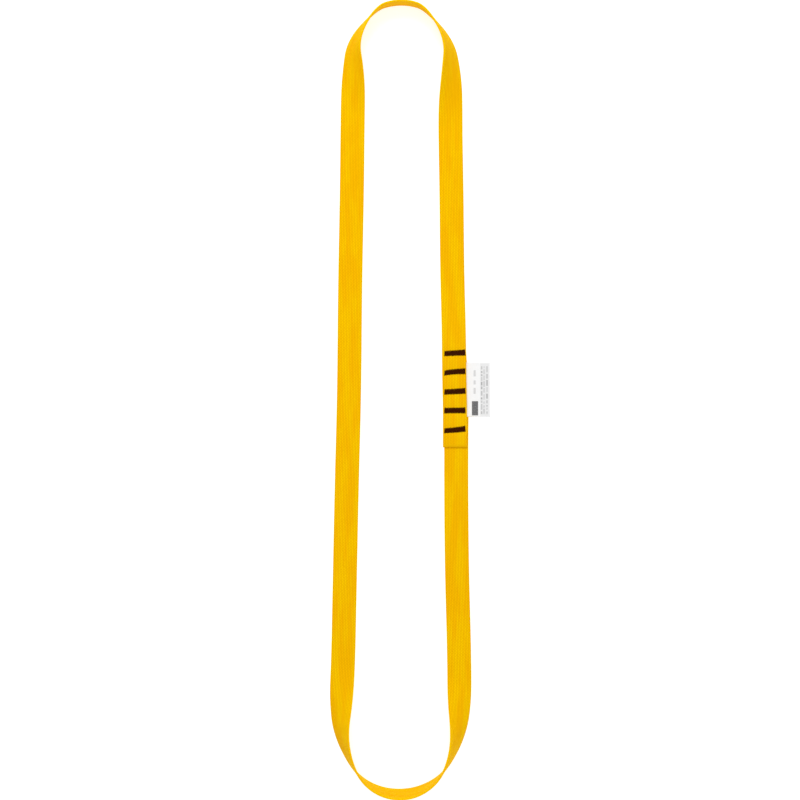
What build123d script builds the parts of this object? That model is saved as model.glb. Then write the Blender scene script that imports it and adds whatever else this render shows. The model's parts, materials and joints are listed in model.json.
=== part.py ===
from build123d import *
import math
import os

# An endless webbing sling lying on a flat surface, in millimetres.
# Its two legs lie flat along Y. At each end the webbing turns up on its edge and makes an arch.
# The two ends of the webbing overlap on the right leg and are sewn by five bar tacks.
# +Z is up, the surface is Z = 0, and the origin is under the middle of the whole sling.

# Webbing
WEB_WIDTH = 18.0
WEB_THICK = 1.6

# How the webbing turns from flat to upright at each arch: how far along the webbing the turn
# reaches before and after the crown, how slowly it starts, and how far the crown leans outwards
# in degrees.
UPRIGHT = 90.0
TOP_REACH_BEFORE = 103.0
TOP_REACH_AFTER = 115.0
TOP_EASE = 1.25
TOP_LEAN = -2.0
BOTTOM_REACH_BEFORE = 114.0
BOTTOM_REACH_AFTER = 118.0
BOTTOM_EASE = 1.5
BOTTOM_LEAN = 14.0
LEAN_REACH = 45.0         # the lean fades out over this length of webbing

# Splice
SPLICE_LEVEL = 77.0       # level stretch of webbing at each end, the overlap and a little more
LOWER_RAMP = 32.0         # the lower layer comes down to the surface over this length
UPPER_RAMP = 42.0         # and the upper layer comes down off the lower one over this

# Bar tacks
TACK_COUNT = 5
TACK_X = 33.1             # middle of the tacks, where they catch both layers
TACK_END_MARGIN = 3.5     # from the lower layer's hidden end to the first tack
TACK_TAIL = 13.2          # from the last tack to the upper layer's end
TACK_EDGE_MARGIN = 1.35   # from a tack to each edge of the webbing
TACK_WIDTH = 4.6          # along the webbing
TACK_STROKES = 12
THREAD = 0.45             # thread diameter
NEEDLE_HOLE_CLEARANCE = 0.05
LOCK_GAP = 0.1            # between the needle thread's and the bobbin thread's legs

# Label
LABEL_THICK = 0.3
LABEL_WIDTH = 40.5        # along the webbing
LABEL_Y = 8.0
LABEL_SEAM = 1.1          # how far it reaches in past the tacks
LABEL_REACH = 15.2        # from the fold line out
LABEL_EDGE_GAP = 0.9      # from the lower layer's edge to the fold line
LABEL_TAB_SETBACK = 0.45  # from the fold line to the sewn tab
LABEL_FLAP_SETBACK = 0.1  # and to the flap that turns about it
LOWER_LAYER_X = 34.3      # middle of the lower layer beside the label

# Resolution of the webbing
COARSE_STEP = 24.0
FINE_STEP = 5.0
SEARCH_STEP = 1.0

# Arcs of the route, as a share of the shorter run beside each corner
ARC_SHARE = 0.45

# Middle line of the webbing in plan, from the hidden end of the lower layer, down the right leg,
# round the bottom arch, up the left leg, round the top arch and down to the end of the upper layer.
ROUTE = [
    (32.2, 38.5), (34.5, 9.0), (34.0, -27.0), (34.0, -74.5), (34.5, -126.5), (36.0, -178.5),
    (36.5, -216.0), (36.0, -247.0), (28.0, -270.5), (17.5, -283.5), (1.0, -291.5),
    (-17.0, -291.5), (-33.0, -284.0), (-44.0, -270.5), (-52.0, -246.5), (-51.5, -223.0),
    (-50.0, -193.5), (-49.0, -141.5), (-47.5, -67.0), (-45.5, 7.5), (-45.0, 82.0),
    (-43.5, 156.0), (-43.0, 208.5), (-42.5, 242.0), (-43.0, 266.5), (-25.5, 290.0),
    (-13.0, 294.0), (-0.5, 294.0), (11.2, 290.0), (29.0, 266.5), (30.5, 242.0),
    (29.5, 208.5), (30.5, 156.0), (31.0, 96.5), (32.0, 52.0), (32.0, 18.5), (33.0, -9.0),
    (33.0, -35.0),
]

# The tacks are spread over the overlap, and the label's places follow the layers that hold it
TACK_LENGTH = WEB_WIDTH - 2 * TACK_EDGE_MARGIN
TACK_FIRST_Y = ROUTE[0][1] - TACK_END_MARGIN
TACK_LAST_Y = ROUTE[-1][1] + TACK_TAIL
TACK_PITCH = (TACK_FIRST_Y - TACK_LAST_Y) / (TACK_COUNT - 1)
LABEL_INNER_X = TACK_X - TACK_LENGTH / 2 - LABEL_SEAM
LABEL_FOLD_X = LOWER_LAYER_X + WEB_WIDTH / 2 + LABEL_EDGE_GAP

# Heights of the layers at the splice
LOWER_LIFT = THREAD
UPPER_LIFT = LOWER_LIFT + WEB_THICK + LABEL_THICK
LABEL_Z = LOWER_LIFT + WEB_THICK
SPLICE_TOP = UPPER_LIFT + WEB_THICK


def smooth(share):
    """An even step from 0 to 1 with level ends."""
    share = min(max(share, 0.0), 1.0)
    return share * share * (3 - 2 * share)


def corner_radii(points):
    """The largest tangent arc that the two runs beside each corner allow."""
    radii = []
    for before, corner, after in zip(points, points[1:], points[2:]):
        first = Vector(*corner) - Vector(*before)
        second = Vector(*after) - Vector(*corner)
        half_turn = math.radians(first.get_angle(second)) / 2
        radii.append(ARC_SHARE * min(first.length, second.length) / math.tan(half_turn))
    return radii


def middle_line():
    """The route in plan as straight runs joined by tangent arcs."""
    radii = corner_radii(ROUTE)
    print("arc radii mm", [round(radius, 1) for radius in radii])
    return FilletPolyline(*ROUTE, radius=radii)


def crown_distance(line, side):
    """Distance along the line to its highest point in plan (side 1) or its lowest (side -1)."""
    steps = int(line.length / SEARCH_STEP)
    return max(
        (index * SEARCH_STEP for index in range(steps)),
        key=lambda along: side * line.position_at(along, position_mode=PositionMode.LENGTH).Y,
    )


def turn_of_webbing(along, crowns):
    """Degrees from lying flat, outer face up, at a distance along the line."""
    turns = []
    for crown, reach_before, reach_after, ease, lean in crowns:
        distance = abs(along - crown)
        reach = reach_before if along < crown else reach_after
        upright = UPRIGHT * (1 - smooth((distance / reach) ** ease))
        turns.append(upright + lean * (1 - smooth(distance / LEAN_REACH)))
    return max(turns)


def lift_of_webbing(along, length):
    """Height of the webbing's underside above the surface where it crosses the splice."""
    lower = LOWER_LIFT * (1 - smooth((along - SPLICE_LEVEL) / LOWER_RAMP))
    upper = UPPER_LIFT * (1 - smooth((length - SPLICE_LEVEL - along) / UPPER_RAMP))
    return lower + upper


def section(line, along, crowns):
    """The webbing's rectangular section at a distance along the line."""
    turn = math.radians(turn_of_webbing(along, crowns))
    middle = line.position_at(along, position_mode=PositionMode.LENGTH)
    travel = line.tangent_at(along, position_mode=PositionMode.LENGTH)
    outward = Vector(-travel.Y, travel.X, 0)
    face = Vector(0, 0, 1) * math.cos(turn) + outward * math.sin(turn)
    across = Vector(0, 0, 1) * math.sin(turn) - outward * math.cos(turn)
    rise = WEB_WIDTH / 2 * abs(math.sin(turn)) + WEB_THICK / 2 * abs(math.cos(turn))
    centre = Vector(middle.X, middle.Y, lift_of_webbing(along, line.length) + rise)
    half_width = across * (WEB_WIDTH / 2)
    half_thick = face * (WEB_THICK / 2)
    corners = [
        centre + half_width + half_thick,
        centre + half_width - half_thick,
        centre - half_width - half_thick,
        centre - half_width + half_thick,
    ]
    return Wire.make_polygon(corners, close=True)


def station_distances(line, crowns):
    """Where the sections stand: close together where the webbing turns or ramps, else far apart."""
    bottom, top = crowns
    length = line.length
    stretches = [
        (SPLICE_LEVEL, COARSE_STEP),
        (SPLICE_LEVEL + LOWER_RAMP, FINE_STEP),
        (bottom[0] - BOTTOM_REACH_BEFORE, COARSE_STEP),
        (bottom[0] + BOTTOM_REACH_AFTER, FINE_STEP),
        (top[0] - TOP_REACH_BEFORE, COARSE_STEP),
        (top[0] + TOP_REACH_AFTER, FINE_STEP),
        (length - SPLICE_LEVEL - UPPER_RAMP, COARSE_STEP),
        (length - SPLICE_LEVEL, FINE_STEP),
        (length, COARSE_STEP),
    ]
    distances = [0.0]
    for end, step in stretches:
        start = distances[-1]
        count = max(1, math.ceil((end - start) / step))
        distances += [start + (end - start) * (index + 1) / count for index in range(count)]
    return distances


def stitch_points(number):
    """Where the needle goes through for one bar tack: a zigzag across the webbing."""
    middle_y = TACK_FIRST_Y - number * TACK_PITCH
    stroke = (TACK_LENGTH - THREAD) / TACK_STROKES
    side = (TACK_WIDTH - THREAD) / 2
    first_x = TACK_X - (TACK_LENGTH - THREAD) / 2
    return [
        (first_x + index * stroke, middle_y + side * (1 if index % 2 else -1))
        for index in range(TACK_STROKES + 1)
    ]


def needle_holes(low, high):
    """The holes that all the bar tacks' stitches pass through, between two heights."""
    radius = THREAD / 2 + NEEDLE_HOLE_CLEARANCE
    hole = Cylinder(radius, high - low, align=(Align.CENTER, Align.CENTER, Align.MIN))
    return [
        Pos(x, y, low) * hole
        for number in range(TACK_COUNT)
        for x, y in stitch_points(number)
    ]


def stroke_between(start, end):
    """A flat stroke with round ends from one stitch to the next."""
    run = Vector(*end) - Vector(*start)
    middle = (Vector(*start) + Vector(*end)) * 0.5
    angle = math.degrees(math.atan2(run.Y, run.X))
    return Pos(middle.X, middle.Y) * Rot(0, 0, angle) * SlotCenterToCenter(run.length, THREAD)


def thread_of_tack(number, face_z, side):
    """One thread of a bar tack: strokes that lie on a face, and legs that go in at each stitch.

    side is 1 for the needle thread on the upper face and -1 for the bobbin thread under the lower.
    """
    points = stitch_points(number)
    base_z = face_z if side > 0 else face_z - THREAD
    middle_z = LABEL_Z + LABEL_THICK / 2
    strokes = Sketch() + [stroke_between(start, end) for start, end in zip(points, points[1:])]
    leg_end = middle_z + side * LOCK_GAP / 2
    leg_low = min(leg_end, face_z)
    leg_high = max(leg_end, face_z)
    leg = Cylinder(THREAD / 2, leg_high - leg_low, align=(Align.CENTER, Align.CENTER, Align.MIN))
    legs = [Pos(x, y, leg_low) * leg for x, y in points]
    return Pos(0, 0, base_z) * extrude(strokes, amount=THREAD) + legs


def build_webbing():
    line = middle_line()
    bottom_crown = crown_distance(line, -1)
    top_crown = crown_distance(line, 1)
    crowns = [
        (bottom_crown, BOTTOM_REACH_BEFORE, BOTTOM_REACH_AFTER, BOTTOM_EASE, BOTTOM_LEAN),
        (top_crown, TOP_REACH_BEFORE, TOP_REACH_AFTER, TOP_EASE, TOP_LEAN),
    ]
    print("webbing length mm", round(line.length, 1))
    sections = [section(line, along, crowns) for along in station_distances(line, crowns)]
    webbing = Solid.make_loft(sections, ruled=True)
    print("sections", len(sections), "volume", round(webbing.volume), "against",
          round(WEB_WIDTH * WEB_THICK * line.length))
    return webbing - needle_holes(0, SPLICE_TOP)


def label_piece(start_x, end_x):
    box = Box(end_x - start_x, LABEL_WIDTH, LABEL_THICK, align=(Align.MIN, Align.CENTER, Align.MIN))
    return Pos(start_x, LABEL_Y, LABEL_Z) * box


def build_label():
    tab = label_piece(LABEL_INNER_X, LABEL_FOLD_X - LABEL_TAB_SETBACK)
    tab = tab - needle_holes(LABEL_Z, LABEL_Z + LABEL_THICK)
    flap = label_piece(LABEL_FOLD_X + LABEL_FLAP_SETBACK, LABEL_FOLD_X + LABEL_REACH)
    return tab, flap


def write(node, shape):
    shape.label = node
    export_step(shape, f"parts/{node}.step")


os.makedirs("parts", exist_ok=True)
write("webbing_strap", build_webbing())
label_tab, label_flap = build_label()
write("label_sewn_tab", label_tab)
write("label_flap", label_flap)
for tack in range(TACK_COUNT):
    write(f"needle_thread_{tack + 1}", thread_of_tack(tack, SPLICE_TOP, 1))
    write(f"bobbin_thread_{tack + 1}", thread_of_tack(tack, LOWER_LIFT, -1))
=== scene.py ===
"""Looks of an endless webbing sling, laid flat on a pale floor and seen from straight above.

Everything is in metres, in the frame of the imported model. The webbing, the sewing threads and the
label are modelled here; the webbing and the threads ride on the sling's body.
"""

import json
import math
import random

import bpy
import numpy as np
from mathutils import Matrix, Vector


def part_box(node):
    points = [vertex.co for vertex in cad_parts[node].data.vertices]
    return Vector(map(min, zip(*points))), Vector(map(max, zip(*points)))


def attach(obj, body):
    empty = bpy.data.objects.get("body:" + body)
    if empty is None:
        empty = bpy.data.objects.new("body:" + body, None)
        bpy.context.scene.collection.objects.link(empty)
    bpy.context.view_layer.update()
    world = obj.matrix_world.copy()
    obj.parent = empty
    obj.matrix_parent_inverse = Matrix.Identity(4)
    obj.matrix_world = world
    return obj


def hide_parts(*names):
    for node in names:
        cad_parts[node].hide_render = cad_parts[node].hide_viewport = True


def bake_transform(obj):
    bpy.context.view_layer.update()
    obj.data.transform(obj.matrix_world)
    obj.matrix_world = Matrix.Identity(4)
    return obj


MM = 1000                  # the attributes that the materials read are in millimetres

# Webbing
WEB_WIDTH = 0.018
WEB_THICK = 0.0016

# How the webbing turns from flat to upright at each arch: how far along the webbing the turn
# reaches before and after the crown, how slowly it starts, and how far the crown leans outwards
# in degrees.
UPRIGHT = 90.0
TOP = {"side": 1, "reach": (0.103, 0.115), "ease": 1.25, "lean": -2.0}
BOTTOM = {"side": -1, "reach": (0.114, 0.118), "ease": 1.5, "lean": 14.0}
LEAN_REACH = 0.045

# Heights of the two layers where they cross at the splice, and where they come down to the floor
THREAD = 0.00045
LABEL_GAP = 0.0003
LOWER_LIFT = THREAD
UPPER_LIFT = THREAD + WEB_THICK + LABEL_GAP
SPLICE_LEVEL = 0.077
LOWER_RAMP = 0.032
UPPER_RAMP = 0.042
DROOP_REACH = 0.010        # past the last tack the upper layer's end settles onto the lower layer

# Middle line of the webbing in plan, from the hidden end of the lower layer, down the right leg,
# round the bottom arch, up the left leg, round the top arch and down to the end of the upper layer.
# It is the CAD model's, but three points of the upper layer lie up to 0.4 mm further right.
ROUTE = [
    (0.0322, 0.0385), (0.0345, 0.0090), (0.0340, -0.0270), (0.0340, -0.0745), (0.0345, -0.1265),
    (0.0360, -0.1785), (0.0365, -0.2160), (0.0360, -0.2470), (0.0280, -0.2705), (0.0175, -0.2835),
    (0.0010, -0.2915), (-0.0170, -0.2915), (-0.0330, -0.2840), (-0.0440, -0.2705),
    (-0.0520, -0.2465), (-0.0515, -0.2230), (-0.0500, -0.1935), (-0.0490, -0.1415),
    (-0.0475, -0.0670), (-0.0455, 0.0075), (-0.0450, 0.0820), (-0.0435, 0.1560),
    (-0.0430, 0.2085), (-0.0425, 0.2420), (-0.0430, 0.2665), (-0.0255, 0.2900),
    (-0.0130, 0.2940), (-0.0005, 0.2940), (0.0112, 0.2900), (0.0290, 0.2665), (0.0305, 0.2420),
    (0.0295, 0.2085), (0.0305, 0.1560), (0.0310, 0.0965), (0.0322, 0.0520), (0.0324, 0.0185),
    (0.0331, -0.0090), (0.0330, -0.0350),
]
ROUTE_FINENESS = 64

# Camera, straight above the sling
CAMERA_PLACE = (-0.0078, 0.0002, 1.4)
CAMERA_LENS = 84.68
SENSOR_WIDTH = 36.0

# Floor and studio light. Each lamp is a name, a place, a size and a power.
FLOOR_REACH = 60.0
FLOOR_TONE = (0.65, 0.65, 0.65, 1)
FLOOR_GLOW = 0.64
WHITE = (1, 1, 1, 1)
WORLD_STRENGTH = 0.62
LAMPS = (
    ("key", (-0.3, 1.5, 1.5), 1.2, 26),
    ("fill", (0.6, -1.4, 1.2), 1.6, 7.5),
)

# Weave of the webbing
RING_STEP = 0.0018
RIBS = 14                  # warp ribs on each face
POINTS_PER_RIB = 4
RIB_DEPTH = 0.00016
SELVEDGE = 0.0008          # width of the rounded edge
SELVEDGE_SHARE = 0.97      # and its thickness, as a share of the webbing's
FACE_HALF = WEB_WIDTH / 2 - SELVEDGE
RIB_PITCH = 2 * FACE_HALF / RIBS
SELVEDGE_ANGLES = (72, 45, 16, -16, -45, -72)
CROWN = 0.00022            # the middle of the webbing stands this much above its edges
FLOAT_LENGTH = 0.0021      # one over and under of a warp yarn
FLOAT_SHARE = 0.6          # the share of a rib's height that comes and goes with its floats
FLOAT_SHIFT = 0.5          # each rib's floats start this share of a float after the last rib's

# Spots of the webbing's patterns to the millimetre, across it and along it
FILAMENT_GRAIN = (6.0, 0.7)
TONE_GRAIN = (0.16, 0.02)
TONE_PLACE = 3.0           # where the slow changes of tone are cut from their pattern

# The legs rock a little along their length, in two waves: a share of the tilt, a length, a phase
TILT = math.radians(1.0)
TILT_WAVES = ((0.6, 0.23, 0.4), (0.4, 0.11, 2))

# Heat-cut ends: distance from the end, and how high the outer face stands there as a share
MELT_DISTANCES = (0.0, 0.0004, 0.0010, 0.0018, 0.0030)
MELT_SHARES = (-0.30, 0.20, 0.62, 0.90, 1.0)

# Webbing between the bar tacks swells up, because each tack pulls it down
SWELL = 0.00060
SWELL_UNDER = 0.7          # the underside's share of the swell, which keeps it off the floor
SWELL_EDGE_LOSS = 0.4      # the share of the swell that is gone at the webbing's edges
SWELL_FADE = 0.020
TACK_PINCH = 0.0027        # half the length of webbing that a tack pulls down

# The webbing's map for its baked colours
MAP_COLUMNS = 6
MAP_MARGIN = 0.02
MAP_END_SCALE = 0.8        # size of the two cut ends on the map
MAP_END_PLACE = 0.4        # and their height there, as a share of the margin

# Bar tacks
STROKES = 44               # across each tack
UNDERLAY_ROWS = 5          # threads along it, under the strokes
UNDERLAY_STEPS = 12
UNDERLAY_HEIGHT = 0.00008
UNDERLAY_MARGIN = 3 * THREAD    # how much narrower than the tack they lie
UNDERLAY_JITTER = 0.00005
THREAD_SIDES = 8
THREAD_PLIES = 3.0
THREAD_TWIST = 1.4         # turns of the plies to the millimetre
TACK_STRETCH = 1.14        # length of a stroke, as a share of the tack's width
STROKE_JITTER = (-0.00016, 0.00010)
STROKE_PARTS = (0.0, 0.05, 0.2, 0.8, 0.95)
STROKE_SHOULDER = 0.00008  # a stroke's height just after it leaves the webbing
STROKE_DIP = 0.0006        # how far its ends go into the webbing
CROWN_JITTER = 0.00003
# The needle thread lies on the upper face, and the bobbin thread under the lower layer: which way
# each stands out, how far its strokes reach past the needle holes and are pulled to the left of
# them, and how high the middle of a stroke stands above the face
THREAD_PLACES = {
    "needle": {"out": 1, "spread": 0.00035, "shift": 0.0002, "crown": 0.00028},
    "bobbin": {"out": -1, "spread": 0.0, "shift": 0.0, "crown": 0.00019},
}
# Each tack is a little different: how much it slopes and bows, and how narrow its left end is
TACK_SHAPES = [
    {"slope": 0.0005, "bow": 0.0, "taper": 0.86},
    {"slope": 0.0008, "bow": 0.0005, "taper": 0.84},
    {"slope": 0.0005, "bow": -0.0002, "taper": 0.88},
    {"slope": 0.0001, "bow": 0.0, "taper": 0.94},
    {"slope": 0.0009, "bow": -0.0003, "taper": 0.82},
]

# Label: a ribbon folded in two, with both ends sewn into the splice
RIBBON_THICK = 0.00013
RIBBON_FOLD = 0.00042      # radius of the fold, from its middle to the ribbon's middle
RIBBON_SEAM_GAP = 0.00007  # half the distance between the two plies at the seam
RIBBON_CROWN = 0.00035
RIBBON_WAVE = 0.00045
RIBBON_WAVE_LENGTH = 0.047
RIBBON_WAVE_PHASE = 0.9
RIBBON_STEP = 0.0007
RIBBON_FOLD_POINTS = 12
RIBBON_WEFT = 0.28         # pitch of the ribbon's yarns in millimetres
RIBBON_WARP = 0.22

# Plain bars in place of print. X is measured from the fold line, Y from the label's two ends.
PRINT_SEED = 7
PANEL_X = (0.0076, 0.0142)
PANEL_MARGIN = 0.0008
PANEL_INK = 0.13
BLOCK_X = (0.0014, 0.0060)
BLOCK_Y = (0.0010, 0.0116)
BLOCK_INK = 0.95
COLUMNS = ((0.0086, 0.50), (0.0104, 0.34), (0.0126, 0.42))      # middle and ink of each
COLUMN_HALF = 0.0006
COLUMN_MARGIN = 0.0030
COLUMN_END = 0.0020
BAR_LENGTHS = (0.0012, 0.0050)  # shortest and longest
BAR_GAPS = (0.0006, 0.0014)
INK_SPREAD = (0.7, 1.3)
MARKS_X = (0.0026, 0.0042)
MARKS_Y = ((0.006, 0.0045), (0.0135, 0.003), (0.019, 0.0045))   # start and length of each
MARKS_INK = 0.30

# Colours
YARN_DEEP = (0.95, 0.495, 0.0005, 1)
YARN_BRIGHT = (0.97, 0.597, 0.0005, 1)
# painted shade, for the low places of the weave
YARN_GROOVE_SHADE = (0.66, 0.30, 0.0005, 1)
YARN_DARK = (0.80, 0.40, 0.0005, 1)
YARN_MELTED = (0.83, 0.45, 0.001, 1)
YARN_SHINE = (1.0, 0.74, 0.06, 1)
YARN_SHEEN = (1.0, 0.8, 0.1, 1)
# painted shade and painted light, for the grooves and the crowns of the thread's plies
THREAD_GROOVE_SHADE = (0.022, 0.0035, 0.0003, 1)
THREAD_LIT_CROWN = (0.062, 0.0105, 0.0008, 1)
PAPER_DEEP = (0.865, 0.865, 0.865, 1)
PAPER_BRIGHT = (0.905, 0.905, 0.905, 1)
INK = (0.05, 0.05, 0.055, 1)


# ---------------------------------------------------------------- camera, floor and light

def make_camera():
    camera = bpy.data.objects.new("camera", bpy.data.cameras.new("camera"))
    camera.data.sensor_width = SENSOR_WIDTH
    camera.data.lens = CAMERA_LENS
    camera.location = CAMERA_PLACE
    bpy.context.scene.collection.objects.link(camera)
    bpy.context.scene.camera = camera
    bpy.context.scene.view_settings.view_transform = "Standard"


def make_area_light(name, place, size, power):
    """A square soft light that faces the middle of the sling."""
    light = bpy.data.lights.new(name, "AREA")
    light.shape = "SQUARE"
    light.size = size
    light.energy = power
    holder = bpy.data.objects.new(name, light)
    holder.location = place
    direction = -holder.location
    holder.rotation_euler = direction.to_track_quat("-Z", "Y").to_euler()
    bpy.context.scene.collection.objects.link(holder)


def make_stage():
    mesh = bpy.data.meshes.new("floor")
    corners = [
        (x * FLOOR_REACH, y * FLOOR_REACH, 0)
        for x, y in ((-1, -1), (1, -1), (1, 1), (-1, 1))
    ]
    mesh.from_pydata(corners, [], [(0, 1, 2, 3)])
    floor = bpy.data.objects.new("floor", mesh)
    bpy.context.scene.collection.objects.link(floor)
    paint = Paint("floor_paper")
    paint.set("Base Color", FLOOR_TONE)
    paint.set("Roughness", 0.9)
    paint.set("Specular IOR Level", 0.1)
    paint.set("Emission Color", WHITE)
    paint.set("Emission Strength", FLOOR_GLOW)
    mesh.materials.append(paint.material)

    world = bpy.data.worlds.new("studio")
    world.use_nodes = True
    background = world.node_tree.nodes["Background"]
    background.inputs["Color"].default_value = WHITE
    background.inputs["Strength"].default_value = WORLD_STRENGTH
    bpy.context.scene.world = world
    for lamp in LAMPS:
        make_area_light(*lamp)


# ---------------------------------------------------------------- materials

class Paint:
    """A material with a Principled shader, whose nodes are made and joined one call at a time."""

    def __init__(self, name):
        self.material = bpy.data.materials.new(name)
        self.material.use_nodes = True
        self.tree = self.material.node_tree
        self.shader = self.tree.nodes["Principled BSDF"]

    def set(self, socket, value):
        self.shader.inputs[socket].default_value = value

    def join(self, value, socket):
        """Puts a number, a colour or another node's output into a socket."""
        if isinstance(value, bpy.types.NodeSocket):
            self.tree.links.new(value, socket)
        else:
            socket.default_value = value

    def node(self, kind, **settings):
        made = self.tree.nodes.new(kind)
        for name, value in settings.items():
            setattr(made, name, value)
        return made

    def filled(self, made, values):
        """Fills a node's first sockets, and gives its first output."""
        for value, socket in zip(values, made.inputs):
            self.join(value, socket)
        return made.outputs[0]

    def math(self, operation, *values):
        return self.filled(self.node("ShaderNodeMath", operation=operation), values)

    def times(self, first, second):
        return self.math("MULTIPLY", first, second)

    def plus(self, first, second):
        return self.math("ADD", first, second)

    def vector(self, x, y, z):
        return self.filled(self.node("ShaderNodeCombineXYZ"), (x, y, z))

    def stretched(self, across, along, grain, depth):
        """A place in a pattern that has this many spots to the millimetre."""
        return self.vector(self.times(across, grain[0]), self.times(along, grain[1]), depth)

    def remap(self, value, low, high, to_low=0.0, to_high=1.0):
        made = self.node("ShaderNodeMapRange", interpolation_type="SMOOTHSTEP")
        return self.filled(made, (value, low, high, to_low, to_high))

    def attribute(self, name):
        """The three numbers of a vector attribute."""
        made = self.node("ShaderNodeAttribute", attribute_name=name)
        parts = self.node("ShaderNodeSeparateXYZ")
        self.join(made.outputs["Vector"], parts.inputs[0])
        return parts.outputs

    def number_attribute(self, name):
        return self.node("ShaderNodeAttribute", attribute_name=name).outputs["Fac"]

    def noise(self, place, scale, detail):
        made = self.node("ShaderNodeTexNoise")
        self.join(place, made.inputs["Vector"])
        made.inputs["Scale"].default_value = scale
        made.inputs["Detail"].default_value = detail
        return made.outputs[0]

    def white_noise(self, place):
        """A number that stays the same wherever the place does."""
        made = self.node("ShaderNodeTexWhiteNoise")
        self.join(place, made.inputs["Vector"])
        return made.outputs["Value"]

    def blend(self, share, first, second):
        """A colour between two, by a share from 0 to 1."""
        made = self.node("ShaderNodeMix", data_type="RGBA")
        self.join(share, made.inputs[0])
        self.join(first, made.inputs[6])
        self.join(second, made.inputs[7])
        return made.outputs[2]

    def bump(self, height, distance, strength=1.0):
        made = self.node("ShaderNodeBump")
        made.inputs["Strength"].default_value = strength
        made.inputs["Distance"].default_value = distance
        self.join(height, made.inputs["Height"])
        self.join(made.outputs[0], self.shader.inputs["Normal"])


def webbing_paint():
    """Yellow woven yarn: warp ribs, floats along each rib, fine filaments and slightly melted ends.

    The attribute weave holds millimetres across the webbing, millimetres along it, and how melted
    it is.
    """
    paint = Paint("yellow_webbing")
    across, along, melt = paint.attribute("weave")

    # Ribs, and the floats along each of them
    rib = paint.plus(paint.math("DIVIDE", across, RIB_PITCH * MM), RIBS / 2)
    number = paint.math("FLOOR", rib)
    inside = paint.math("FRACT", rib)
    ridge = paint.math("SINE", paint.times(inside, math.pi))
    cycles = paint.math("DIVIDE", along, FLOAT_LENGTH * MM)
    phase = paint.plus(cycles, paint.times(number, FLOAT_SHIFT))
    swing = paint.math("COSINE", paint.times(phase, 2 * math.pi))
    float_height = paint.plus(paint.times(swing, 0.5), 0.5)
    yarn = paint.times(ridge, paint.plus(paint.times(float_height, FLOAT_SHARE), 1 - FLOAT_SHARE))

    # Filaments, slow changes of tone, and a shade of its own for each float
    filaments = paint.noise(paint.stretched(across, along, FILAMENT_GRAIN, 0.0), 1.0, 3.0)
    tone = paint.noise(paint.stretched(across, along, TONE_GRAIN, TONE_PLACE), 1.0, 2.0)
    uneven = paint.white_noise(paint.vector(number, paint.math("FLOOR", phase), 0.0))

    # Colour: slow changes of tone, painted shade in the grooves of the weave, the fibres and the
    # melted ends
    colour = paint.blend(paint.remap(tone, 0.38, 0.62), YARN_DEEP, YARN_BRIGHT)
    # Painted shade: darker where the yarn lies low, between the ribs and where the floats dip under
    colour = paint.blend(paint.remap(yarn, 0.0, 0.6, 0.75, 0.0), colour, YARN_GROOVE_SHADE)
    fibre_shade = paint.times(paint.remap(filaments, 0.35, 0.65), 0.22)
    yarn_shade = paint.times(uneven, 0.18)
    colour = paint.blend(paint.plus(fibre_shade, yarn_shade), colour, YARN_DARK)
    colour = paint.blend(melt, colour, YARN_MELTED)
    paint.join(colour, paint.shader.inputs["Base Color"])

    # Gloss and relief. The melted ends are smoother and shine more.
    rough = paint.plus(0.52, paint.times(filaments, 0.2))
    rough = paint.math("SUBTRACT", rough, paint.times(melt, 0.3))
    paint.join(rough, paint.shader.inputs["Roughness"])
    paint.set("IOR", 1.25)
    paint.set("Specular IOR Level", 0.08)
    paint.set("Specular Tint", YARN_SHINE)
    paint.set("Sheen Weight", 0.02)
    paint.set("Sheen Roughness", 0.4)
    paint.set("Sheen Tint", YARN_SHEEN)
    unmelted = paint.math("SUBTRACT", 1.0, melt)
    woven = paint.plus(paint.times(yarn, 0.8), paint.times(filaments, 0.6))
    paint.bump(paint.times(woven, unmelted), 0.00014)
    return paint.material


def thread_paint():
    """Dark bonded thread, with painted shade between its plies and painted light on their crowns.

    The attribute ply holds turns round the thread and millimetres along it.
    """
    paint = Paint("dark_thread")
    turn, along, _ = paint.attribute("ply")
    phase = paint.plus(paint.times(turn, THREAD_PLIES), paint.times(along, THREAD_TWIST))
    twist = paint.math("ABSOLUTE", paint.math("SINE", paint.times(phase, math.pi)))
    # Painted shade in the grooves between the plies, painted light on their crowns
    colour = paint.blend(twist, THREAD_GROOVE_SHADE, THREAD_LIT_CROWN)
    paint.join(colour, paint.shader.inputs["Base Color"])
    paint.set("Roughness", 0.6)
    paint.set("Specular IOR Level", 0.02)
    paint.bump(twist, 0.00006)
    return paint.material


def ribbon_paint():
    """White satin ribbon with plain grey bars.

    The attribute ribbon holds millimetres across and along the ribbon, and ink is 0 to 1.
    """
    paint = Paint("white_ribbon")
    width, length, _ = paint.attribute("ribbon")
    ink = paint.number_attribute("ink")
    weft = paint.math("SINE", paint.times(length, 2 * math.pi / RIBBON_WEFT))
    warp = paint.math("SINE", paint.times(width, 2 * math.pi / RIBBON_WARP))
    cloth = paint.times(weft, warp)
    patchy = paint.noise(paint.vector(width, length, 0.0), 1.6, 3.0)
    paper = paint.blend(patchy, PAPER_DEEP, PAPER_BRIGHT)
    worn = paint.times(ink, paint.remap(patchy, 0.2, 0.6, 0.75, 1.0))
    paint.join(paint.blend(worn, paper, INK), paint.shader.inputs["Base Color"])
    paint.set("Roughness", 0.45)
    paint.set("Specular IOR Level", 0.4)
    paint.set("Sheen Weight", 0.15)
    paint.bump(cloth, 0.00003, 0.6)
    return paint.material


# ---------------------------------------------------------------- meshes

def smooth(share):
    """An even step from 0 to 1 with level ends."""
    share = np.clip(share, 0.0, 1.0)
    return share * share * (3 - 2 * share)


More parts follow.
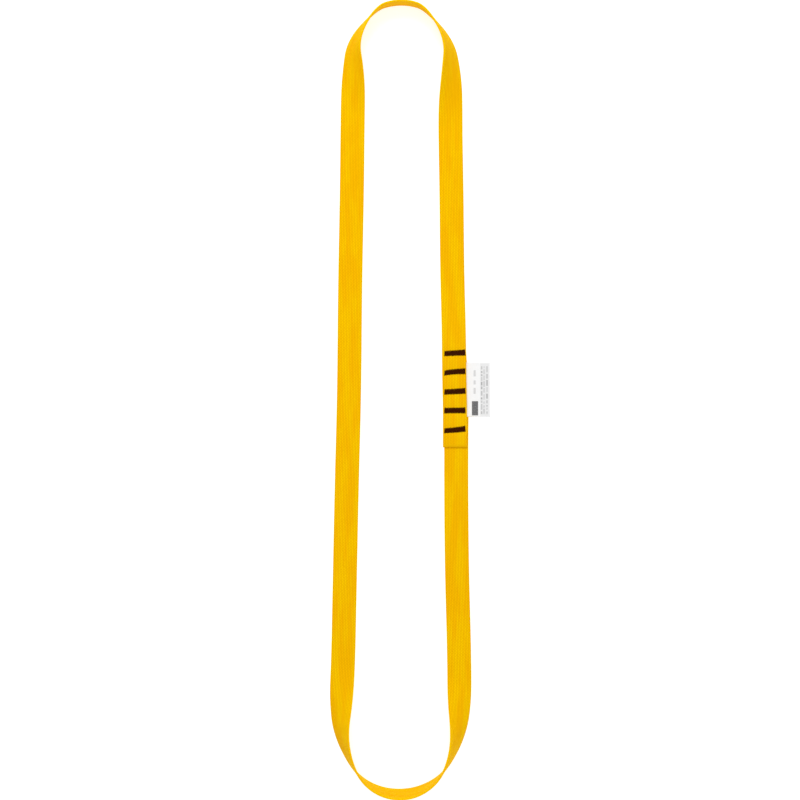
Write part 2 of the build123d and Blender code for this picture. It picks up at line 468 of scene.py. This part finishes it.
def distance_along(line):
    steps = np.linalg.norm(np.diff(line, axis=0), axis=1)
    return np.concatenate([[0.0], np.cumsum(steps)])


def unit(vectors):
    return vectors / np.linalg.norm(vectors, axis=1)[:, None]


def side_by_side(shape, *columns):
    """Values that spread over a grid of points, stacked into one row to each point."""
    return np.stack([np.broadcast_to(column, shape) for column in columns], axis=2)


def make_piece(name, points, faces, material, attributes=(), face_attributes=()):
    """A smooth mesh object. Attributes are (name, kind, values), one value or row to each point."""
    mesh = bpy.data.meshes.new(name)
    mesh.from_pydata([tuple(point) for point in points], [], faces)
    for domain, given in (("POINT", attributes), ("FACE", face_attributes)):
        for label, kind, values in given:
            layer = mesh.attributes.new(label, kind, domain)
            field = "vector" if kind == "FLOAT_VECTOR" else "value"
            layer.data.foreach_set(field, np.asarray(values, np.float32).ravel())
    mesh.polygons.foreach_set("use_smooth", np.ones(len(mesh.polygons), bool))
    mesh.materials.append(material)
    piece = bpy.data.objects.new(name, mesh)
    bpy.context.scene.collection.objects.link(piece)
    return piece


def grid_faces(rings, points, closed):
    """Quads between neighbouring rings of points, round the whole ring if it is closed."""
    last = points if closed else points - 1
    return [
        (
            ring * points + point,
            ring * points + (point + 1) % points,
            (ring + 1) * points + (point + 1) % points,
            (ring + 1) * points + point,
        )
        for ring in range(rings - 1)
        for point in range(last)
    ]


def tube_faces(rings, points):
    """Faces of a tube of rings of points, with a face over each end."""
    first_ring = tuple(range(points))
    last_ring = tuple(range((rings - 1) * points, rings * points))
    return grid_faces(rings, points, closed=True) + [first_ring[::-1], last_ring]


# ---------------------------------------------------------------- webbing

def route_line():
    """The webbing's middle line in plan, read from the route's own spline."""
    curve = bpy.data.curves.new("route", "CURVE")
    curve.dimensions = "3D"
    curve.resolution_u = ROUTE_FINENESS
    spline = curve.splines.new("NURBS")
    spline.points.add(len(ROUTE) - 1)
    for point, (x, y) in zip(spline.points, ROUTE):
        point.co = (x, y, 0, 1)
    spline.order_u = 3
    spline.use_endpoint_u = True
    holder = bpy.data.objects.new("route", curve)
    mesh = bpy.data.meshes.new_from_object(holder)
    line = np.array([vertex.co[:2] for vertex in mesh.vertices])
    bpy.data.meshes.remove(mesh)
    bpy.data.objects.remove(holder)
    bpy.data.curves.remove(curve)
    return line


def read_at(along, line_along, rows):
    """Rows given along a line, read at other distances along it."""
    return np.stack([np.interp(along, line_along, column) for column in rows.T], axis=1)


def turn_at(along, crowns):
    """Radians from lying flat, outer face up."""
    turns = []
    for crown, arch in crowns:
        distance = np.abs(along - crown)
        reach = np.where(along < crown, *arch["reach"])
        upright = UPRIGHT * (1 - smooth((distance / reach) ** arch["ease"]))
        turns.append(upright + arch["lean"] * (1 - smooth(distance / LEAN_REACH)))
    return np.radians(np.maximum(*turns))


def rock_at(along):
    """How far the webbing rocks from side to side, in radians."""
    waves = (
        share * np.sin(2 * math.pi * along / wave + phase)
        for share, wave, phase in TILT_WAVES
    )
    return TILT * sum(waves)


def lift_at(along, length):
    """Height of the webbing's underside where it crosses the splice."""
    lower = LOWER_LIFT * (1 - smooth((along - SPLICE_LEVEL) / LOWER_RAMP))
    upper = UPPER_LIFT * (1 - smooth((length - SPLICE_LEVEL - along) / UPPER_RAMP))
    droop = LABEL_GAP * (1 - smooth((length - along) / DROOP_REACH))
    return lower + upper - droop


def free_share(along, length):
    """0 along the splice, where the layers are sewn together, and 1 on the rest of the webbing."""
    from_end = np.minimum(along, length - along)
    return smooth((from_end - SPLICE_LEVEL) / LOWER_RAMP)


def webbing_stations(length):
    """Distances of the mesh's rings, with a few more close to the two heat-cut ends."""
    end = MELT_DISTANCES[-1]
    count = round((length - 2 * end) / RING_STEP)
    even = np.linspace(end, length - end, count + 1)
    start = np.array(MELT_DISTANCES[:-1])
    return np.concatenate([start, even, length - start[::-1]])


def webbing_section():
    """The webbing's section, all round: distance across, distance from the middle plane."""
    steps = np.arange(RIBS * POINTS_PER_RIB + 1)
    across = FACE_HALF - steps * RIB_PITCH / POINTS_PER_RIB
    ridge = np.abs(np.sin(math.pi * steps / POINTS_PER_RIB))
    high = WEB_THICK / 2 - RIB_DEPTH * (1 - ridge)
    angles = np.radians(SELVEDGE_ANGLES)
    edge_across = FACE_HALF + SELVEDGE * np.cos(angles)
    edge_high = WEB_THICK / 2 * SELVEDGE_SHARE * np.sin(angles)
    return np.concatenate([
        np.stack([across, high], axis=1),
        np.stack([-edge_across, edge_high], axis=1),
        np.stack([across[::-1], -high], axis=1),
        np.stack([edge_across, edge_high[::-1]], axis=1),
    ])


def webbing_axes(travel, turn):
    """The directions across the webbing and out of its outer face."""
    up = np.array([0.0, 0.0, 1.0])
    outward = np.column_stack([-travel[:, 1], travel[:, 0], np.zeros(len(travel))])
    sine, cosine = np.sin(turn)[:, None], np.cos(turn)[:, None]
    return up * sine - outward * cosine, up * cosine + outward * sine


def swell_at(y, tacks):
    """How far the webbing stands up between the bar tacks, and just past the first and the last."""
    share = np.ones_like(y)
    for tack in tacks:
        share = np.minimum(share, 1 - np.exp(-(((y - tack) / TACK_PINCH) ** 2)))
    past = np.maximum(np.maximum(y - max(tacks), min(tacks) - y), 0)
    return SWELL * share * (1 - smooth(past / SWELL_FADE))


def webbing_heights(along, length, section, crown, swell):
    """Each point's distance from the webbing's middle plane, one row to each ring.

    The webbing is crowned, its outer face is melted down at both ends, and between the tacks the
    upper layer swells upwards and the lower layer downwards.
    """
    across, high = section[:, 0], section[:, 1]
    share = across / (WEB_WIDTH / 2)
    from_end = np.minimum(along, length - along)
    melted = np.interp(from_end, MELT_DISTANCES, MELT_SHARES)
    heights = high[None, :] * np.where(high > 0, melted[:, None], 1)
    heights -= crown[:, None] * share[None, :] ** 2
    swell = swell[:, None] * (1 - SWELL_EDGE_LOSS * share[None, :] ** 4)
    upper = along > length - SPLICE_LEVEL - UPPER_RAMP
    lower = along < SPLICE_LEVEL + LOWER_RAMP
    heights += swell * (upper[:, None] & (high > 0)[None, :])
    heights -= SWELL_UNDER * swell * (lower[:, None] & (high < 0)[None, :])
    return heights


def lay_out_map(piece, along, section, rings, around):
    """A map of the whole webbing, cut into equal lengths that lie side by side."""
    girth = distance_along(np.concatenate([section, section[:1]]))
    girth_share = girth / girth[-1]
    column = np.minimum((along / along[-1] * MAP_COLUMNS).astype(int), MAP_COLUMNS - 1)
    layer = piece.data.uv_layers.new(name="OFBake")
    places = np.zeros((len(piece.data.loops), 2), np.float32)
    ring_of, point_of = np.divmod(np.arange((rings - 1) * around), around)
    for corner, (ring_step, point_step) in enumerate(((0, 0), (0, 1), (1, 1), (1, 0))):
        across = girth_share[point_of + point_step] * (1 - MAP_MARGIN) + MAP_MARGIN / 2
        down = along[ring_of + ring_step] / along[-1] * MAP_COLUMNS - column[ring_of]
        loops = 4 * np.arange((rings - 1) * around) + corner
        places[loops, 0] = (column[ring_of] + across) / MAP_COLUMNS
        places[loops, 1] = down * (1 - 2 * MAP_MARGIN) + MAP_MARGIN
    end_faces = piece.data.polygons[-2:]
    for number, face in enumerate(end_faces):
        for index, vertex in zip(face.loop_indices, face.vertices):
            across, high = section[vertex % around] / WEB_WIDTH
            places[index] = (
                (number + 0.5 + across * MAP_END_SCALE) / MAP_COLUMNS,
                MAP_MARGIN * (MAP_END_PLACE + high),
            )
    layer.uv.foreach_set("vector", places.ravel())


def make_webbing(tacks):
    line = route_line()
    line_along = distance_along(line)
    length = line_along[-1]
    along = webbing_stations(length)
    middle = read_at(along, line_along, line)
    travel = unit(read_at(along, line_along, np.gradient(line, line_along, axis=0)))

    free = free_share(along, length)
    crowns = [(line_along[(arch["side"] * line[:, 1]).argmax()], arch) for arch in (BOTTOM, TOP)]
    turn = turn_at(along, crowns) + rock_at(along) * free
    crown = CROWN * free * np.abs(np.cos(turn))
    rise = WEB_WIDTH / 2 * np.abs(np.sin(turn)) + WEB_THICK / 2 * np.abs(np.cos(turn)) + crown
    centre = np.column_stack([middle, lift_at(along, length) + rise])
    side, face = webbing_axes(travel, turn)

    section = webbing_section()
    across = section[:, 0]
    swell = swell_at(middle[:, 1], tacks)
    heights = webbing_heights(along, length, section, crown, swell)
    rings, around = heights.shape
    points = centre[:, None] + side[:, None] * across[None, :, None]
    points = points + face[:, None] * heights[:, :, None]

    from_end = np.minimum(along, length - along)
    melt = 1 - smooth((from_end - MELT_DISTANCES[1]) / (MELT_DISTANCES[-1] - MELT_DISTANCES[1]))
    weave = side_by_side(heights.shape, across * MM, along[:, None] * MM, melt[:, None])
    webbing = make_piece(
        "webbing", points.reshape(-1, 3), tube_faces(rings, around), webbing_paint(),
        attributes=[("weave", "FLOAT_VECTOR", weave)],
    )
    lay_out_map(webbing, along, section, rings, around)
    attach(webbing, "sling")
    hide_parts("webbing_strap")


# ---------------------------------------------------------------- bar tacks

def tube(line, radius):
    """Points, faces and plies of a closed thread along a line that never goes straight up."""
    travel = unit(np.gradient(line, axis=0))
    flat = unit(np.column_stack([travel[:, 1], -travel[:, 0], np.zeros(len(line))]))
    other = np.cross(flat, travel)
    angle = 2 * math.pi * np.arange(THREAD_SIDES) / THREAD_SIDES
    points = (
        line[:, None]
        + radius * np.cos(angle)[None, :, None] * flat[:, None]
        + radius * np.sin(angle)[None, :, None] * other[:, None]
    )
    turns = np.arange(THREAD_SIDES) / THREAD_SIDES
    along = distance_along(line) * MM
    ply = side_by_side((len(line), THREAD_SIDES), turns, along[:, None], 0.0)
    return points.reshape(-1, 3), tube_faces(len(line), THREAD_SIDES), ply.reshape(-1, 3)


def joined(tubes):
    """Several tubes as one set of points, faces and plies."""
    points, faces, plies, count = [], [], [], 0
    for tube_points, tube_ring_faces, tube_ply in tubes:
        faces += [tuple(index + count for index in face) for face in tube_ring_faces]
        points.append(tube_points)
        plies.append(tube_ply)
        count += len(tube_points)
    return np.concatenate(points), faces, np.concatenate(plies)


class TackThread:
    """One thread of a bar tack, within the box of its CAD node."""

    def __init__(self, side, number, shape):
        self.node = f"{side}_thread_{number}"
        self.low, self.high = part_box(self.node)
        self.place = THREAD_PLACES[side]
        self.shape = shape
        self.rng = random.Random(f"{side}{number}")
        self.out = self.place["out"]
        self.face_z = self.high.z - THREAD if self.out > 0 else self.low.z + THREAD
        self.middle_x = (self.low.x + self.high.x) / 2 - self.place["shift"]
        self.middle_y = (self.low.y + self.high.y) / 2

    def y_at(self, share):
        """The tack's sloped and bowed middle line, at a share from -1 to 1 of its half length."""
        bow = self.shape["bow"] * (1 - share * share)
        return self.middle_y + self.shape["slope"] * share + bow

    def taper_at(self, share):
        """The tack's width there, as a share of its width at the right end."""
        narrow = self.shape["taper"]
        return narrow + (1 - narrow) * (share + 1) / 2

    def zigzag(self):
        """The strokes across the tack, whose ends dip into the webbing."""
        half_x = (self.high.x - self.low.x) / 2 - THREAD / 2 + self.place["spread"]
        half_y = (self.high.y - self.low.y) / 2 * TACK_STRETCH
        turns = []
        for stroke in range(STROKES + 1):
            share = -1 + 2 * stroke / STROKES
            reach = half_y * self.taper_at(share) + self.rng.uniform(*STROKE_JITTER)
            y = self.y_at(share) + (1 if stroke % 2 else -1) * reach
            turns.append((self.middle_x + half_x * share, y))
        path = []
        for (x0, y0), (x1, y1) in zip(turns, turns[1:]):
            crown = self.place["crown"] + self.rng.uniform(-CROWN_JITTER, CROWN_JITTER)
            heights = (-STROKE_DIP, STROKE_SHOULDER, crown, crown, STROKE_SHOULDER)
            for part, height in zip(STROKE_PARTS, heights):
                x = x0 + (x1 - x0) * part
                y = y0 + (y1 - y0) * part
                path.append((x, y, self.face_z + self.out * height))
        path.append((*turns[-1], self.face_z - self.out * STROKE_DIP))
        return np.array(path)

    def underlay(self, row):
        """One of the threads that run the length of the tack under its strokes."""
        half_x = (self.high.x - self.low.x) / 2 - THREAD
        spread_y = self.high.y - self.low.y - UNDERLAY_MARGIN
        offset = (row / (UNDERLAY_ROWS - 1) - 0.5) * spread_y
        z = self.face_z + self.out * UNDERLAY_HEIGHT
        path = []
        for step in range(UNDERLAY_STEPS + 1):
            share = -1 + 2 * step / UNDERLAY_STEPS
            y = self.y_at(share) + offset * self.taper_at(share)
            y += self.rng.uniform(-UNDERLAY_JITTER, UNDERLAY_JITTER)
            path.append((self.middle_x + half_x * share, y, z))
        return np.array(path)


def make_tacks():
    """Both threads of each bar tack. Returns the tacks' middles along Y."""
    paint = thread_paint()
    middles = []
    for number, shape in enumerate(TACK_SHAPES, start=1):
        for side in THREAD_PLACES:
            thread = TackThread(side, number, shape)
            lines = [thread.zigzag()]
            lines += [thread.underlay(row) for row in range(UNDERLAY_ROWS)]
            points, faces, ply = joined([tube(line, THREAD / 2) for line in lines])
            piece = make_piece(
                f"bar_tack_{number}_{side}", points, faces, paint,
                attributes=[("ply", "FLOAT_VECTOR", ply)],
            )
            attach(piece, "sling")
            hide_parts(thread.node)
        middles.append(thread.middle_y)
    return middles


# ---------------------------------------------------------------- label

def printed_bars(fold_x, low_y, high_y):
    """Plain bars in place of print: x and y ranges and how dark each is."""
    rng = random.Random(PRINT_SEED)
    panel_y = (low_y + PANEL_MARGIN, high_y - PANEL_MARGIN)
    block_y = (low_y + BLOCK_Y[0], low_y + BLOCK_Y[1])
    bars = [
        (fold_x + PANEL_X[0], fold_x + PANEL_X[1], *panel_y, PANEL_INK),
        (fold_x + BLOCK_X[0], fold_x + BLOCK_X[1], *block_y, BLOCK_INK),
    ]
    for column, dark in COLUMNS:
        x_range = (fold_x + column - COLUMN_HALF, fold_x + column + COLUMN_HALF)
        y = high_y - COLUMN_MARGIN
        while y > low_y + COLUMN_MARGIN:
            end = max(y - rng.uniform(*BAR_LENGTHS), low_y + COLUMN_END)
            bars.append((*x_range, end, y, dark * rng.uniform(*INK_SPREAD)))
            y = end - rng.uniform(*BAR_GAPS)
    for start, long in MARKS_Y:
        y = high_y - start
        bars.append((fold_x + MARKS_X[0], fold_x + MARKS_X[1], y - long, y, MARKS_INK))
    return bars


def lines_between(low, high, step, others):
    """Evenly spaced values from low to high, with the others among them."""
    values = np.concatenate([np.arange(low, high, step), [high], others])
    return np.unique(np.round(values, 6))


def ribbon_path(xs, fold_x, turn_x):
    """The folded ribbon's line in X and height: out on the lower ply, round the fold and back."""
    open_share = smooth((xs - fold_x) / (turn_x - fold_x))
    half_gap = RIBBON_SEAM_GAP + (RIBBON_FOLD - RIBBON_SEAM_GAP) * open_share
    angles = np.linspace(-math.pi / 2, math.pi / 2, RIBBON_FOLD_POINTS + 2)[1:-1]
    path_x = np.concatenate([xs, turn_x + RIBBON_FOLD * np.cos(angles), xs[::-1]])
    path_z = np.concatenate([-half_gap, RIBBON_FOLD * np.sin(angles), half_gap[::-1]])
    return np.column_stack([path_x, path_z])


def ribbon_height(x, y, fold_x, end_x, middle_y, base_z):
    """Height of the label's middle surface: flat in the splice, and slightly crowned outside it."""
    out = np.clip((x - fold_x) / (end_x - fold_x), 0, 1)
    crown = RIBBON_CROWN * np.sin(math.pi * out)
    phase = 2 * math.pi * (y - middle_y) / RIBBON_WAVE_LENGTH + RIBBON_WAVE_PHASE
    wave = RIBBON_WAVE * (0.5 + 0.5 * np.sin(phase)) * out ** 2
    return base_z + crown + wave


def ribbon_faces(rows, columns):
    """Faces of the ribbon's outer skin, then of its inner skin and of the rim between them."""
    outer = grid_faces(rows, columns, closed=False)
    count = rows * columns
    inner = [tuple(index + count for index in face[::-1]) for face in outer]
    edge = [row * columns for row in range(rows)]
    edge += [(rows - 1) * columns + column for column in range(1, columns)]
    edge += [row * columns + columns - 1 for row in range(rows - 2, -1, -1)]
    edge += list(range(columns - 2, 0, -1))
    rim = [(b + count, a + count, a, b) for a, b in zip(edge, edge[1:] + edge[:1])]
    return outer + inner + rim


def printed_ink(points, faces, upper, bars):
    """How dark each face is. Only the faces numbered in upper are printed."""
    ink = np.zeros(len(faces))
    for index in upper:
        x, y, _ = points[list(faces[index])].mean(axis=0)
        for x0, x1, y0, y1, dark in bars:
            if x0 < x < x1 and y0 < y < y1:
                ink[index] = dark
    return ink


def make_label():
    tab_low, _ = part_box("label_sewn_tab")
    flap_low, flap_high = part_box("label_flap")
    fold_x = frame["joints"][0]["pos_m"][0]
    base_z = (flap_low.z + flap_high.z) / 2
    middle_y = (flap_low.y + flap_high.y) / 2
    turn_x = flap_high.x - RIBBON_FOLD - RIBBON_THICK / 2
    bars = printed_bars(fold_x, flap_low.y, flap_high.y)
    bar_xs = [x for bar in bars for x in bar[0:2]]
    bar_ys = [y for bar in bars for y in bar[2:4]]
    xs = lines_between(tab_low.x, turn_x, RIBBON_STEP, bar_xs)
    ys = lines_between(flap_low.y, flap_high.y, 2 * RIBBON_STEP, bar_ys)

    path = ribbon_path(xs, fold_x, turn_x)
    path_along = distance_along(path)
    slope = unit(np.gradient(path, axis=0))
    normal = np.column_stack([slope[:, 1], -slope[:, 0]])
    skins, weaves = [], []
    for shift in (0.5, -0.5):
        x, z = (path + normal * RIBBON_THICK * shift).T
        grid_x, grid_y = np.meshgrid(x, ys, indexing="ij")
        base = ribbon_height(grid_x, grid_y, fold_x, flap_high.x, middle_y, base_z)
        skins.append(np.stack([grid_x, grid_y, base + z[:, None]], axis=2).reshape(-1, 3))
        weave = side_by_side(grid_x.shape, grid_y * MM, path_along[:, None] * MM, 0.0)
        weaves.append(weave.reshape(-1, 3))
    points = np.concatenate(skins)
    rows, columns = len(path), len(ys)
    faces = ribbon_faces(rows, columns)
    upper = range((rows - len(xs)) * (columns - 1), (rows - 1) * (columns - 1))
    label = make_piece(
        "label", points, faces, ribbon_paint(),
        attributes=[("ribbon", "FLOAT_VECTOR", np.concatenate(weaves))],
        face_attributes=[("ink", "FLOAT", printed_ink(points, faces, upper, bars))],
    )
    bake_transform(label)
    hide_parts("label_sewn_tab", "label_flap")


# ---------------------------------------------------------------- the scene

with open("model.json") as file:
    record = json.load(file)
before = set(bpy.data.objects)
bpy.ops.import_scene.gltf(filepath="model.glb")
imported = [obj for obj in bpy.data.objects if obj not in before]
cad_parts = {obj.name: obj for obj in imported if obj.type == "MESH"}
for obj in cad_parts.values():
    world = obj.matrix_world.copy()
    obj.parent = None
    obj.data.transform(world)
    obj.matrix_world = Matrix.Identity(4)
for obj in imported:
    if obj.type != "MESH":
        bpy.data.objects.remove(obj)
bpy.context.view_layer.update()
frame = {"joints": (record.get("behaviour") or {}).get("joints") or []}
make_camera()
tack_middles = make_tacks()
make_webbing(tack_middles)
make_label()
make_stage()
